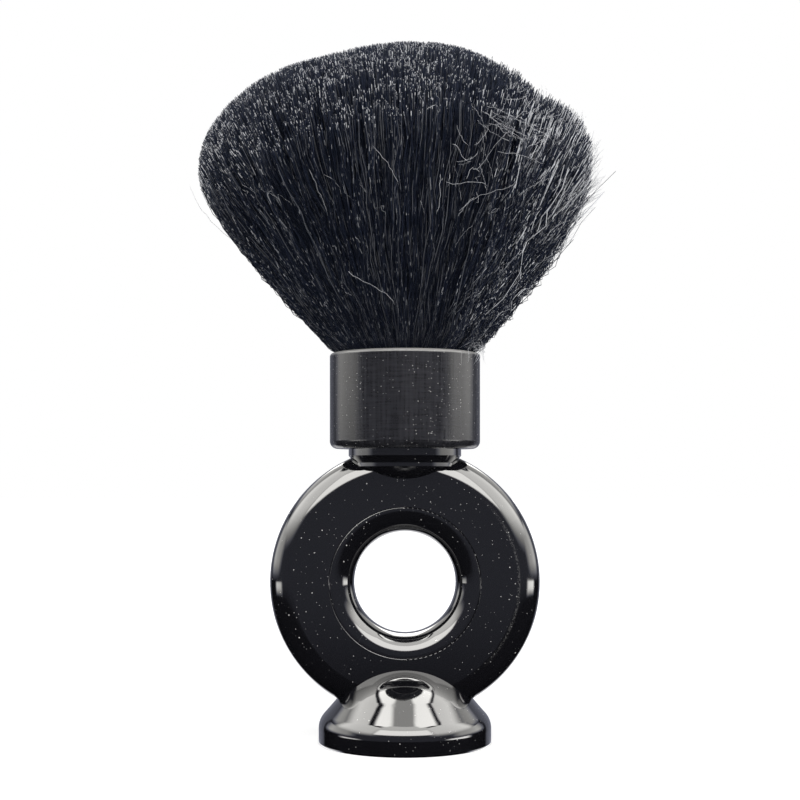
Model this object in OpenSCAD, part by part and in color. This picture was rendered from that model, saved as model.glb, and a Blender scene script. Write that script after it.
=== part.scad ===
// Neck duster: a domed mop of fine fibre set in a collar, on a glossy moulded
// handle with a finger ring and a bell-shaped foot that it stands on.
// Origin: centre of the foot's underside. +Z runs up the brush, and the finger
// ring's axis lies along Y, so the ring faces the front (-Y).
// Nothing on it moves: the fibre roots are set in resin in a cup, the cup is
// glued in the collar, and the handle is two welded half shells.

/* [Finger ring] */
// Outside diameter of the finger ring
ring_d = 67.6; // [60:0.2:84]
// Diameter of the finger hole at its narrowest
hole_d = 25.4; // [20:0.2:31]
// Thickness of the ring, front to back
ring_t = 12.5; // [9:0.5:16]
// Length of the straight band in the middle of the finger hole
hole_land = 2; // [1:0.5:4]
// Distance from the edge of the hole to the fine groove round it
groove_gap = 6; // [5.5:0.1:7]
// Width of that groove
groove_w = 0.4; // [0.2:0.1:0.8]

/* [Foot] */
// Diameter of the foot
foot_d = 43.2; // [38:0.2:53]
// Height of the upright edge round the foot
foot_edge_h = 3.8; // [2:0.1:5]
// Radius that rounds the foot's edge into its flank
foot_edge_r = 5.1; // [3:0.1:6.5]
// Radius of the foot's hollow flank
foot_flank_r = 120; // [25:1:200]
// Radius of the foot's domed crown
foot_crown_r = 20.8; // [17:0.1:22]
// Height of the centre of that crown
foot_crown_z = -1.1; // [-2:0.1:3]
// Height of the ring's lowest point, inside the foot
ring_lift = 6.4; // [5:0.1:8]
// Thickness of the cap that closes the foot underneath
cap_t = 2; // [1.5:0.1:3]
// Width of the ledge that the cap is welded to
cap_ledge = 1.8; // [1:0.1:2.5]

/* [Neck] */
// Radius of the ball under the collar
neck_r = 17.9; // [17:0.1:21.5]
// Diameter of the neck where the collar seats on it
neck_d = 28.2; // [27.4:0.2:34]
// How far the collar's underside lies below the top of the ring
neck_sink = 0.5; // [0:0.1:1.5]
// Depth of that ball below the collar's underside
neck_drop = 8.6; // [7.5:0.1:10]
// Diameter of the stub that carries the collar and the cup
stub_d = 25; // [20:0.2:27]
// Height of the stub above the collar's underside
stub_h = 6.8; // [5:0.1:9]

/* [Collar and cup] */
// Outside diameter of the collar
collar_d = 37.6; // [37:0.2:46]
// Height of the collar
collar_h = 23.8; // [20:0.2:29]
// Wall of the collar
collar_wall = 1.6; // [1:0.1:2]
// Thickness of the collar's floor
collar_floor = 1.8; // [1.2:0.1:2.5]
// Radius of the collar's lower outside edge
collar_edge_r = 1.9; // [1:0.1:2.5]
// Wall of the bristle cup
cup_wall = 1.2; // [1:0.1:1.5]
// Height of the bristle cup
cup_h = 15; // [13:0.2:15.6]
// Depth of cured resin in the cup
resin_h = 3.5; // [2:0.1:4]
// Height of the band drawn round the fibre roots
band_h = 2.5; // [1.5:0.5:3]
// Thickness of that band
band_t = 0.7; // [0.4:0.1:1]

/* [Mop] */
// Diameter of the mop across its widest tips
mop_d = 104; // [86:1:125]
// Height of those widest tips above the collar
mop_side_h = 45; // [37:1:54]
// Height of the mop's crown above those tips
mop_crown_h = 29.3; // [20:0.5:36]
// Rows of fibre bunches across the mop
rows = 17; // [15:1:21]
// Bunches in each row
columns = 19; // [15:1:21]

/* [Fits] */
// Wall of the hollow handle
wall = 2.2; // [1.6:0.1:2.7]
// Clearance where one piece slips into another
slip = 0.15; // [0.1:0.05:0.25]
// Space between the fibres and what they pass
fibre_gap = 0.4; // [0.3:0.1:0.8]
// Diameter of the pins that line the two shells up
pin_d = 2.4; // [2:0.1:3]
// How far the pins reach into the other shell
pin_reach = 2.4; // [1.5:0.1:3]
// Height of the tongue that seats one shell in the other
tongue_h = 1; // [0.6:0.1:1.5]
// Width of the fine line that shows where the shells meet
seam_w = 0.3; // [0.1:0.1:0.5]
// Depth of that line
seam_d = 0.2; // [0.1:0.05:0.3]

/* [Hidden] */
$fn = 96;
eps = 0.01;
far = 400;

GLOSS_BLACK = [0.03, 0.03, 0.035];
SATIN_BLACK = [0.13, 0.13, 0.14];
CUP_GREY = [0.22, 0.22, 0.23];
RESIN_AMBER = [0.62, 0.47, 0.25];
BAND_GREY = [0.45, 0.45, 0.43];
FIBRE_BLACK = [0.05, 0.055, 0.08];

ring_r = ring_d / 2;
hole_r = hole_d / 2;
foot_r = foot_d / 2;
lip_r = (ring_t - hole_land) / 2;      // rounding of the finger hole's edges
rim_r = ring_t / 2;                    // rounding of the ring's outside
pin_ring_r = (ring_r + hole_r) / 2;    // circle that the ring's pins stand on

ring_z = ring_lift + ring_r;
collar_z = ring_z + ring_r - neck_sink;
neck_z = collar_z - neck_drop + neck_r;
stub_r = stub_d / 2;
stub_top = collar_z + stub_h;

collar_r = collar_d / 2;
collar_bore_r = collar_r - collar_wall;
collar_top = collar_z + collar_h;
cup_r = collar_bore_r - slip;
cup_z = collar_z + collar_floor;
cup_floor_z = stub_top;
cup_bore_r = cup_r - cup_wall;
cup_web = 1.6;                         // floor of the cup, over the stub
resin_z = cup_floor_z + cup_web;
root_z = resin_z + resin_h;
root_slice = 1;                        // backing that the bunches share
root_r = cup_bore_r - slip - band_t - slip;
throat_z = collar_top;
throat_r = collar_bore_r - fibre_gap;

mop_r = mop_d / 2;
tip_z = collar_top + mop_side_h;

cap_r = foot_r - wall - slip;
ledge_r = foot_r - wall - cap_ledge;

// ---------------------------------------------------------------- ring

// Cross-section of the ring, inset by w: round outside, lipped inside
module ring_section(w) {
    inner = hole_r + lip_r;
    translate([inner, -ring_t / 2 + w])
        square([ring_r - rim_r - inner, ring_t - 2 * w]);
    translate([hole_r + w, -hole_land / 2])
        square([lip_r, hole_land]);
    translate([ring_r - rim_r, 0]) circle(rim_r - w);
    for (side = [-1, 1])
        translate([inner, side * hole_land / 2]) circle(lip_r - w);
}

// Fine groove round the finger hole, on both faces
module ring_groove_section() {
    for (side = [-1, 1])
        translate([hole_r + groove_gap, side * (ring_t / 2 + groove_w / 4)])
            circle(groove_w / 2, $fn = 24);
}

module ring_turned() {
    translate([0, 0, ring_z]) rotate([90, 0, 0]) rotate_extrude() children();
}

// ---------------------------------------------------------------- foot

// Centre of the hollow flank: the arc that touches crown and edge from outside
flank_span = norm([foot_r - foot_edge_r, foot_edge_h - foot_crown_z]);
flank_a = foot_flank_r + foot_crown_r;
flank_b = foot_flank_r + foot_edge_r;
flank_along = (flank_a ^ 2 - flank_b ^ 2 + flank_span ^ 2) / (2 * flank_span);
flank_off = sqrt(flank_a ^ 2 - flank_along ^ 2);
span_dir = [foot_r - foot_edge_r, foot_edge_h - foot_crown_z] / flank_span;
flank_c = [0, foot_crown_z] + flank_along * span_dir
        + flank_off * [-span_dir[1], span_dir[0]];
crown_end = atan2(flank_c[1] - foot_crown_z, flank_c[0]);
edge_end = atan2(flank_c[1] - foot_edge_h, flank_c[0] - foot_r + foot_edge_r);

// Outline of the foot, inset by w: round edge, hollow flank and domed crown
module bell(w) {
    crown = [0, foot_crown_z];
    edge = [foot_r - foot_edge_r, foot_edge_h];
    translate([0, -eps]) square([foot_r - w, foot_edge_h + eps]);
    translate(edge) circle(foot_edge_r - w);
    translate(crown) circle(foot_crown_r - w);
    difference() {
        polygon([crown, crown + (foot_crown_r - w) * [cos(crown_end), sin(crown_end)],
                 edge + (foot_edge_r - w) * [cos(edge_end), sin(edge_end)], edge]);
        translate(flank_c) circle(foot_flank_r + w, $fn = 192);
    }
}

module foot_outside() {
    lip = 0.5;                         // softened edge that it stands on
    rotate_extrude() intersection() {
        bell(0);
        polygon([[0, 0], [foot_r - lip, 0], [foot_r, lip], [foot_r, far], [0, far]]);
    }
}

module foot_inside() {
    rotate_extrude() intersection() {
        bell(wall);
        polygon([[0, -eps], [ledge_r, -eps], [ledge_r, cap_t + cap_ledge],
                 [foot_r, cap_t + cap_ledge + wall], [foot_r, far], [0, far]]);
    }
    translate([0, 0, -eps]) cylinder(r = foot_r - wall, h = cap_t + eps);
}

// ---------------------------------------------------------------- neck

// Neck, inset by w: a ball trimmed to the neck's diameter, up to height top
module neck_ball(w, top) {
    intersection() {
        translate([0, 0, neck_z]) sphere(neck_r - w);
        translate([0, 0, top - far]) cylinder(r = neck_d / 2 - w, h = far);
    }
}

module neck_outside() {
    neck_ball(0, collar_z);
    translate([0, 0, collar_z - 2 * wall]) cylinder(r = stub_r, h = stub_h + 2 * wall);
}

module neck_inside() {
    neck_ball(wall, collar_z - wall);
    translate([0, 0, collar_z - 2 * wall])
        cylinder(r = stub_r - wall, h = stub_h + 2 * wall + eps);
}

// ---------------------------------------------------------------- handle

module handle_hollow() {
    ring_turned() ring_section(wall);
    foot_inside();
    neck_inside();
}

// The handle seen from the front, inset by w and with its finger hole filled
module silhouette(w) {
    translate([0, ring_z]) circle(ring_r - w);
    intersection() {
        translate([0, neck_z]) circle(neck_r - w);
        translate([w - neck_d / 2, 0]) square([neck_d - 2 * w, far]);
    }
    bell(w);
    mirror([1, 0]) bell(w);
}

// Fills a shape drawn on the joint between the shells from one depth to another
module across_joint(front, rear) {
    translate([0, rear, 0]) rotate([90, 0, 0]) linear_extrude(rear - front) children();
}

// Fine line round the outside of the joint
module seam_line() {
    across_joint(-seam_w / 2, seam_w / 2) difference() {
        translate([-far / 2, -far]) square([far, far + collar_z]);
        silhouette(seam_d);
    }
}

module handle_walls() {
    difference() {
        union() {
            ring_turned() ring_section(0);
            foot_outside();
            neck_outside();
        }
        ring_turned() ring_groove_section();
        seam_line();
        handle_hollow();
    }
}

// The stretch between the cap's ledge and the neck where the shells lap
lap_low = cap_t + cap_ledge + wall;
lap_high = collar_z - 2 * wall;
tongue_out = 0.55 * wall;              // from the outside to the tongue

module lap(gap) {
    intersection() {
        silhouette(tongue_out - gap);
        translate([-far / 2, lap_low - gap])
            square([far, lap_high - lap_low + 2 * gap]);
    }
}

// Tongue along the inner side of the front shell's wall
module tongue() {
    across_joint(-tongue_h, tongue_h) difference() {
        lap(0);
        silhouette(wall);
    }
}

// Rebate in the rear shell that the tongue seats in
module rebate() {
    behind_wall = 0.8;
    across_joint(-eps, tongue_h + slip) difference() {
        lap(slip);
        translate([0, ring_z]) circle(ring_r - wall - behind_wall);
    }
}

// One half of the handle: side -1 is the front, side 1 the rear
module half_shell(side) {
    intersection() {
        handle_walls();
        translate([-far / 2, side < 0 ? -far : 0, -far / 2]) cube(far);
    }
}

// Places of the posts that line the shells up, round the ring
module at_pins() {
    for (a = [20, 160, 225, 315])
        translate([pin_ring_r * cos(a), 0, ring_z + pin_ring_r * sin(a)])
            children();
}

// A round post from the ring's face wall to the joint between the shells
module post(side) {
    rotate([-side * 90, 0, 0])
        cylinder(d = pin_d + 2 * wall, h = ring_t / 2 - wall + eps);
}

module front_shell() {
    color(GLOSS_BLACK) {
        half_shell(-1);
        tongue();
        at_pins() {
            post(-1);
            rotate([-90, 0, 0]) translate([0, 0, -eps])
                cylinder(d = pin_d, h = pin_reach + eps);
        }
    }
}

module rear_shell() {
    color(GLOSS_BLACK) {
        difference() {
            half_shell(1);
            rebate();
        }
        at_pins() difference() {
            post(1);
            rotate([-90, 0, 0]) translate([0, 0, -eps])
                cylinder(d = pin_d + 2 * slip, h = pin_reach + slip + eps);
        }
    }
}

// The foot's cap stands on its middle and on its edge, with a shallow ring
// between them
module foot_cap() {
    relief = 0.5;
    pad_r = cap_r * 0.4;
    color(GLOSS_BLACK) difference() {
        cylinder(r = cap_r, h = cap_t);
        translate([0, 0, -eps]) difference() {
            cylinder(r = cap_r - cap_ledge, h = relief + eps);
            translate([0, 0, -eps]) cylinder(r = pad_r, h = relief + 3 * eps);
        }
    }
}

// ---------------------------------------------------------------- collar

module collar() {
    top_r = collar_wall / 2;           // the rim is fully rounded
    color(SATIN_BLACK) rotate_extrude() difference() {
        union() {
            translate([0, collar_z + collar_edge_r])
                square([collar_r, collar_h - collar_edge_r - top_r]);
            translate([0, collar_z]) square([collar_r - collar_edge_r, collar_edge_r]);
            translate([collar_r - collar_edge_r, collar_z + collar_edge_r])
                circle(collar_edge_r);
            translate([collar_r - top_r, collar_top - top_r]) circle(top_r);
        }
        translate([-eps, collar_z - eps]) square([stub_r + slip + eps, far]);
        translate([-eps, cup_z]) square([collar_bore_r + eps, far]);
    }
}

module bristle_cup() {
    color(CUP_GREY) translate([0, 0, cup_z]) difference() {
        cylinder(r = cup_r, h = cup_h);
        translate([0, 0, -eps])
            cylinder(r = stub_r + slip, h = cup_floor_z - cup_z + eps);
        translate([0, 0, cup_floor_z + cup_web - cup_z])
            cylinder(r = cup_bore_r, h = far);
    }
}

module resin_bed() {
    color(RESIN_AMBER) translate([0, 0, resin_z])
        cylinder(r = cup_bore_r - eps, h = resin_h);
}

module root_band() {
    color(BAND_GREY) translate([0, 0, root_z]) difference() {
        cylinder(r = root_r + slip + band_t, h = band_h);
        translate([0, 0, -eps]) cylinder(r = root_r + slip, h = band_h + 2 * eps);
    }
}

// ---------------------------------------------------------------- mop
// The mop is one closed surface: a thin slice of set roots whose top is a grid
// of cells, each with one three-sided bunch of fibre. The grid is a square
// drawn out to a disc, and every bunch keeps its own direction, so the bunches
// spread apart and never cross.

// A point of the square (-1..1) on the disc of radius 1
function on_disc(a, b) =
    max(abs(a), abs(b)) < eps / far ? [0, 0] :
    abs(a) >= abs(b) ? a * [cos(45 * b / a), sin(45 * b / a)]
                     : b * [sin(45 * a / b), cos(45 * a / b)];

function grid_point(i, j) = on_disc(2 * i / columns - 1, 2 * j / rows - 1);

// Half thickness of a bunch at the roots, the collar's rim, half way up and the
// tip, from the room that it has
bunch_r = [0.26 * root_r, 0.28 * throat_r, 0.68 * throat_r, 0.8 * throat_r] * 2 / columns;

// Where the bunch of cell i, j stands: rows are staggered like bricks
stagger = 0.14;
function bunch_point(i, j) =
    grid_point(i + 0.5 + (j % 2 == 0 ? stagger : -stagger), j + 0.5);

// Largest distance of a bunch from the middle of the disc
reach = max([for (j = [0:rows - 1], i = [0:columns - 1]) norm(bunch_point(i, j))]);

// Cut length lost by a bunch, so that the tips aren't one smooth surface
function uneven(p) = 1.2 * (1 + sin(2111 * p[0] + 3571 * p[1]));

// The bunch's middle at those four levels
bend_r = 0.55;                         // share of the spread reached half way
bend_z = 0.48;                         // share of the side height there
function path(p) =
    let (q = p / reach, lean = max(0, 1 - norm(q) ^ 2)) [
    concat(p * root_r, root_z + root_slice),
    concat(p * throat_r, throat_z),
    concat(q * (throat_r + (mop_r - throat_r) * bend_r),
           throat_z + mop_side_h * bend_z + mop_crown_h * lean / 2),
    concat(q * (mop_r - bunch_r[3]), tip_z + mop_crown_h * sqrt(lean) - uneven(p))];

function triangle(c, r) =
    [for (k = [0:2]) c + r * [cos(90 + 120 * k), sin(90 + 120 * k), 0]];

cells = [for (j = [0:rows - 1], i = [0:columns - 1]) [i, j]];
function bunch(cell) = let (levels = path(bunch_point(cell[0], cell[1])))
    [for (n = [0:3]) each triangle(levels[n], bunch_r[n])];

function corner(i, j) = j * (columns + 1) + i;
grid_top = [for (j = [0:rows], i = [0:columns])
    concat(grid_point(i, j) * root_r, root_z + root_slice)];
grid_edge = concat(
    [for (i = [0:columns - 1]) corner(i, 0)],
    [for (j = [0:rows - 1]) corner(columns, j)],
    [for (i = [columns:-1:1]) corner(i, rows)],
    [for (j = [rows:-1:1]) corner(0, j)]);
edge_count = len(grid_edge);

bunch_size = 12;                       // points of a bunch
bunch_first = len(grid_top);
under_first = bunch_first + bunch_size * len(cells);

// Seven triangles between a cell's four corners and its bunch's three
function cell_ring(q, t) = [
    [q[0], t[1], q[1]], [q[1], t[1], t[2]], [q[1], t[2], q[2]], [q[2], t[2], t[0]],
    [q[2], t[0], q[3]], [q[3], t[0], t[1]], [q[3], t[1], q[0]]];

// Sides and cut end of the bunch whose first point is number n
function bunch_faces(n) = concat(
    [for (level = [0:2], k = [0:2], half = [0:1])
        let (a = n + 3 * level + k, b = n + 3 * level + (k + 1) % 3)
        half == 0 ? [a, a + 3, b] : [b, a + 3, b + 3]],
    [[n + 9, n + 11, n + 10]]);

function cell_faces(index) =
    let (i = cells[index][0], j = cells[index][1], n = bunch_first + bunch_size * index)
    concat(cell_ring([corner(i, j), corner(i + 1, j),
                      corner(i + 1, j + 1), corner(i, j + 1)], [n, n + 1, n + 2]),
           bunch_faces(n));

// Rim and underside of the slice
function edge_faces(k) =
    let (a = grid_edge[k], b = grid_edge[(k + 1) % edge_count],
         c = under_first + k, d = under_first + (k + 1) % edge_count,
         middle = under_first + edge_count)
    [[a, b, c], [b, d, c], [c, d, middle]];

mop_points = concat(
    grid_top,
    [for (cell = cells) each bunch(cell)],
    [for (k = grid_edge) [grid_top[k][0], grid_top[k][1], root_z]],
    [[0, 0, root_z]]);
mop_faces = concat(
    [for (index = [0:len(cells) - 1]) each cell_faces(index)],
    [for (k = [0:edge_count - 1]) each edge_faces(k)]);

module bristles() {
    color(FIBRE_BLACK) polyhedron(mop_points, mop_faces);
}

front_shell();
rear_shell();
foot_cap();
collar();
bristle_cup();
resin_bed();
root_band();
bristles();
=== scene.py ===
"""Neck duster: the finish of a glossy moulded handle with its satin collar, and the
mop of fine fibre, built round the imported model.

Everything is in metres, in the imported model's frame: +Z runs up the brush from the
centre of its foot, and the finger hole faces the front, -Y.
"""

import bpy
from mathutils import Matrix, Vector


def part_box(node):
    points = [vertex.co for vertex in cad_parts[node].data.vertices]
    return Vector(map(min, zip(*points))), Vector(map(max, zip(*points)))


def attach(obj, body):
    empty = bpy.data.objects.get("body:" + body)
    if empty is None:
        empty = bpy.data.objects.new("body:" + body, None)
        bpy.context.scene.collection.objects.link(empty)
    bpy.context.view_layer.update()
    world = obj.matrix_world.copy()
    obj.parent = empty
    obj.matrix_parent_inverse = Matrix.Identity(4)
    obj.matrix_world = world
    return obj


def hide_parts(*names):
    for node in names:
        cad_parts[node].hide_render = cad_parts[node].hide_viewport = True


bl_info = {
    "name": "Neck Duster",
    "version": (1, 0, 0),
    "blender": (4, 5, 0),
    "location": "3D View > Sidebar > Duster",
    "description": "Fibre mop and surface finishes of a neck duster brush",
    "category": "Add Mesh",
}

import math

import bpy
import numpy as np

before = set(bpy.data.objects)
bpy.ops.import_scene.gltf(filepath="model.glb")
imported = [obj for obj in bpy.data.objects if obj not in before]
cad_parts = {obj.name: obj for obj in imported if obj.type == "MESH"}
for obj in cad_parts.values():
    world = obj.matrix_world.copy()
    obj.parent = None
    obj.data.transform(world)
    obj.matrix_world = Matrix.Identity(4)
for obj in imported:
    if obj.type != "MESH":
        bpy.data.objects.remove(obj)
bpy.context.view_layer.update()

MM = 0.001


# ------------------------------------------------------------------ frame

COLLAR_TOP = float(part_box("collar")[1][2])
ROOTS_FOOT = float(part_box("bristles")[0][2])
BAND_REACH = float(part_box("root_band")[1][0])
RING_HEIGHT = 0.0402     # the finger hole's axis above the foot


# ---------------------------------------------------------------- settings

class DusterSizes(bpy.types.PropertyGroup):
    """Sizes of the mop"""

    strands: bpy.props.IntProperty(
        name="Strands", description="Number of fibres in the mop",
        default=52000, min=8000, max=60000)
    mop_radius: bpy.props.FloatProperty(
        name="Mop radius", description="Distance of the widest tips from the middle",
        default=51.8 * MM, subtype="DISTANCE", unit="LENGTH")
    crown: bpy.props.FloatProperty(
        name="Crown", description="Height of the mop's crown above its widest tips",
        default=30.0 * MM, subtype="DISTANCE", unit="LENGTH")
    side_height: bpy.props.FloatProperty(
        name="Side height", description="Height of the widest tips above the collar",
        default=45 * MM, subtype="DISTANCE", unit="LENGTH")
    throat_radius: bpy.props.FloatProperty(
        name="Throat radius", description="Radius of the bundle where it leaves the collar",
        default=16.8 * MM, subtype="DISTANCE", unit="LENGTH")
    strand_width: bpy.props.FloatProperty(
        name="Strand width", description="Width of a fibre half way up",
        default=0.17 * MM, subtype="DISTANCE", unit="LENGTH")
    crimp: bpy.props.FloatProperty(
        name="Crimp", description="How far a fibre strays from its smooth line",
        default=0.3 * MM, subtype="DISTANCE", unit="LENGTH")
    seed: bpy.props.IntProperty(
        name="Seed", description="Start of the random draws", default=7)


class DusterColours(bpy.types.PropertyGroup):
    """Colours of the brush"""

    gloss: bpy.props.FloatVectorProperty(
        name="Handle", description="Glossy black plastic of the handle",
        subtype="COLOR", size=3, default=(0.0062, 0.0062, 0.0078))
    satin: bpy.props.FloatVectorProperty(
        name="Collar", description="Satin black of the collar",
        subtype="COLOR", size=3, default=(0.013, 0.013, 0.0155))
    fibre: bpy.props.FloatVectorProperty(
        name="Fibre", description="Blue-black of the fibre",
        subtype="COLOR", size=3, default=(0.0088, 0.0118, 0.0222))
    # Pale grey of the painted highlights on the fibre (glints and streaks along it and at
    # its tips), and the own colour of the pale stray hairs
    fibre_highlight_and_stray: bpy.props.FloatVectorProperty(
        name="Fibre tips", description="Frayed grey of the pale tips",
        subtype="COLOR", size=3, default=(0.74, 0.75, 0.78))
    # Also the pale of the painted highlight along the collar's rim
    dust: bpy.props.FloatVectorProperty(
        name="Dust", description="Lint and dust on the gloss",
        subtype="COLOR", size=3, default=(0.62, 0.61, 0.59))
    resin: bpy.props.FloatVectorProperty(
        name="Resin", description="Cured amber resin under the roots",
        subtype="COLOR", size=3, default=(0.35, 0.21, 0.07))


# ------------------------------------------------------------- node helpers

def link(tree, source, target):
    """Feeds an input from another node's socket, or with a plain value."""
    if isinstance(source, bpy.types.NodeSocket):
        tree.links.new(source, target)
    else:
        target.default_value = source


def add_node(tree, kind, inputs=None, **settings):
    """A new node with its settings; an input takes a socket or a plain value."""
    node = tree.nodes.new(kind)
    for key, value in settings.items():
        setattr(node, key, value)
    for name, value in (inputs or {}).items():
        link(tree, value, node.inputs[name])
    return node


def math_node(tree, operation, first, second=None, clamp=False):
    """Result of a calculation; each value is a number or a socket."""
    values = {0: first} if second is None else {0: first, 1: second}
    return add_node(tree, "ShaderNodeMath", values, operation=operation,
                    use_clamp=clamp).outputs[0]


def map_range(tree, value, low, high, to_low=0.0, to_high=1.0, smooth=False):
    """A value carried from one range to another and kept inside it."""
    return add_node(tree, "ShaderNodeMapRange",
                    {"Value": value, "From Min": low, "From Max": high,
                     "To Min": to_low, "To Max": to_high},
                    interpolation_type="SMOOTHSTEP" if smooth else "LINEAR"
                    ).outputs["Result"]


def mix_colour(tree, factor, first, second):
    return add_node(tree, "ShaderNodeMix", {"Factor": factor, "A": first, "B": second},
                    data_type="RGBA").outputs["Result"]


def rgba(colour, scale=1.0):
    """A colour as a node takes it, made darker or lighter by the scale."""
    return tuple(min(c * scale, 1.0) for c in colour) + (1.0,)


def multiply(tree, first, second):
    return math_node(tree, "MULTIPLY", first, second)


def largest(tree, first, *rest):
    """The largest of some sockets' values."""
    for value in rest:
        first = math_node(tree, "MAXIMUM", first, value)
    return first


def noise(tree, vector, scale, detail):
    """Noise from 0 to 1."""
    return add_node(tree, "ShaderNodeTexNoise", {"Vector": vector, "Scale": scale,
                                                 "Detail": detail}).outputs["Fac"]


def stretched(tree, vector, scale):
    """Coordinates that are scaled along each axis."""
    return add_node(tree, "ShaderNodeMapping", {"Vector": vector, "Scale": scale},
                    vector_type="POINT").outputs["Vector"]


def vector_length(tree, vector):
    return add_node(tree, "ShaderNodeVectorMath", {0: vector},
                    operation="LENGTH").outputs["Value"]


def split_vector(tree, vector):
    """The X, Y and Z of a vector."""
    return add_node(tree, "ShaderNodeSeparateXYZ", {"Vector": vector}).outputs


def new_group(name, numbers, results, vector=True):
    """An empty shader node group; returns it, its inputs and its outputs. It takes a
    vector, and numbers with their defaults, and gives one or more results."""
    group = bpy.data.node_groups.new(name, "ShaderNodeTree")
    if vector:
        group.interface.new_socket("Vector", in_out="INPUT", socket_type="NodeSocketVector")
    for label, default in numbers.items():
        socket = group.interface.new_socket(label, in_out="INPUT",
                                            socket_type="NodeSocketFloat")
        socket.default_value = default
    for label in results:
        group.interface.new_socket(label, in_out="OUTPUT", socket_type="NodeSocketFloat")
    get = add_node(group, "NodeGroupInput").outputs
    give = add_node(group, "NodeGroupOutput").inputs
    return group, get, give


def dust_group():
    """Scattered lint and dust specks of uneven size, as a mask."""
    name = "Dust specks"
    if name in bpy.data.node_groups:
        return bpy.data.node_groups[name]
    group, get, give = new_group(
        name, {"Scale": 400.0, "Cover": 0.3, "Size": 0.12, "Patch": 45.0}, ["Mask"])
    cells = add_node(group, "ShaderNodeTexVoronoi",
                     {"Vector": get["Vector"], "Scale": get["Scale"], "Randomness": 1.0},
                     feature="F1")
    pick = add_node(group, "ShaderNodeSeparateColor",
                    {"Color": cells.outputs["Color"]}).outputs
    patches = noise(group, get["Vector"], get["Patch"], 2.0)
    crowd = map_range(group, patches, 0.4, 0.68, 0.25, 1.8)
    chosen = math_node(group, "LESS_THAN", pick["Red"],
                       multiply(group, get["Cover"], crowd))
    width = multiply(group, get["Size"], map_range(group, pick["Green"], 0, 1, 0.35, 1))
    spot = map_range(group, cells.outputs["Distance"], width, multiply(group, width, 0.6))
    mask = math_node(group, "MULTIPLY", spot, chosen, clamp=True)
    strength = map_range(group, pick["Blue"], 0, 1, 0.35, 1)
    link(group, multiply(group, mask, strength), give["Mask"])
    return group


def scratch_group():
    """Fine broken hairlines, as a mask."""
    name = "Hairline scratches"
    if name in bpy.data.node_groups:
        return bpy.data.node_groups[name]
    group, get, give = new_group(
        name, {"Scale": 60.0, "Width": 0.004, "Cover": 0.5}, ["Mask"])
    wander = noise(group, get["Vector"], get["Scale"], 1.0)
    off = math_node(group, "ABSOLUTE", math_node(group, "SUBTRACT", wander, 0.5))
    line = map_range(group, off, get["Width"], 0.0)
    broken = noise(group, get["Vector"], multiply(group, get["Scale"], 3.0), 3.0)
    level = math_node(group, "SUBTRACT", 1.0, get["Cover"])
    keep = map_range(group, broken, level, math_node(group, "ADD", level, 0.08))
    link(group, math_node(group, "MULTIPLY", line, keep, clamp=True), give["Mask"])
    return group


def grain_group():
    """Slight unevenness of a moulded face: a height and a tone."""
    name = "Moulded grain"
    if name in bpy.data.node_groups:
        return bpy.data.node_groups[name]
    group, get, give = new_group(name, {"Fine": 1500.0, "Coarse": 60.0},
                                 ["Height", "Tone"])
    link(group, noise(group, get["Vector"], get["Fine"], 3.0), give["Height"])
    link(group, noise(group, get["Vector"], get["Coarse"], 2.0), give["Tone"])
    return group


def use_group(tree, group, vector, **values):
    """A node group placed in a material with its own values; returns its outputs."""
    return add_node(tree, "ShaderNodeGroup", {"Vector": vector, **values},
                    node_tree=group).outputs


def new_material(name):
    """A material with a Principled BSDF; returns it, its tree and the shader."""
    material = bpy.data.materials.new(name)
    material.use_nodes = True
    tree = material.node_tree
    shader = next(n for n in tree.nodes if n.type == "BSDF_PRINCIPLED")
    return material, tree, shader


def object_coordinates(tree):
    return add_node(tree, "ShaderNodeTexCoord").outputs["Object"]


def add_bump(tree, shader, height, strength, distance):
    bump = add_node(tree, "ShaderNodeBump", {"Height": height, "Strength": strength,
                                             "Distance": distance})
    link(tree, bump.outputs["Normal"], shader.inputs["Normal"])


# --------------------------------------------------------------- materials

PLASTIC_IOR = 1.5
RUB_REACH = 28.3 * MM    # from the finger hole's axis to the rubbed line


def rub_mark(tree, place):
    """Broken line that handling has rubbed along the ring's right side."""
    spot = split_vector(tree, place)
    rise = math_node(tree, "SUBTRACT", spot["Z"], RING_HEIGHT)
    way = add_node(tree, "ShaderNodeCombineXYZ", {"X": spot["X"], "Y": rise})
    grit = noise(tree, place, 2600.0, 2.0)
    shift = map_range(tree, grit, 0.3, 0.7, -0.3 * MM, 0.3 * MM)
    reach = math_node(tree, "ADD", vector_length(tree, way.outputs[0]), shift)
    off = math_node(tree, "ABSOLUTE", math_node(tree, "SUBTRACT", reach, RUB_REACH))
    line = map_range(tree, off, 0.45 * MM, 0.0)
    side = map_range(tree, spot["X"], 19 * MM, 26 * MM)
    broken = map_range(tree, grit, 0.46, 0.56)
    return multiply(tree, multiply(tree, multiply(tree, line, side), broken), 0.13)


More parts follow.
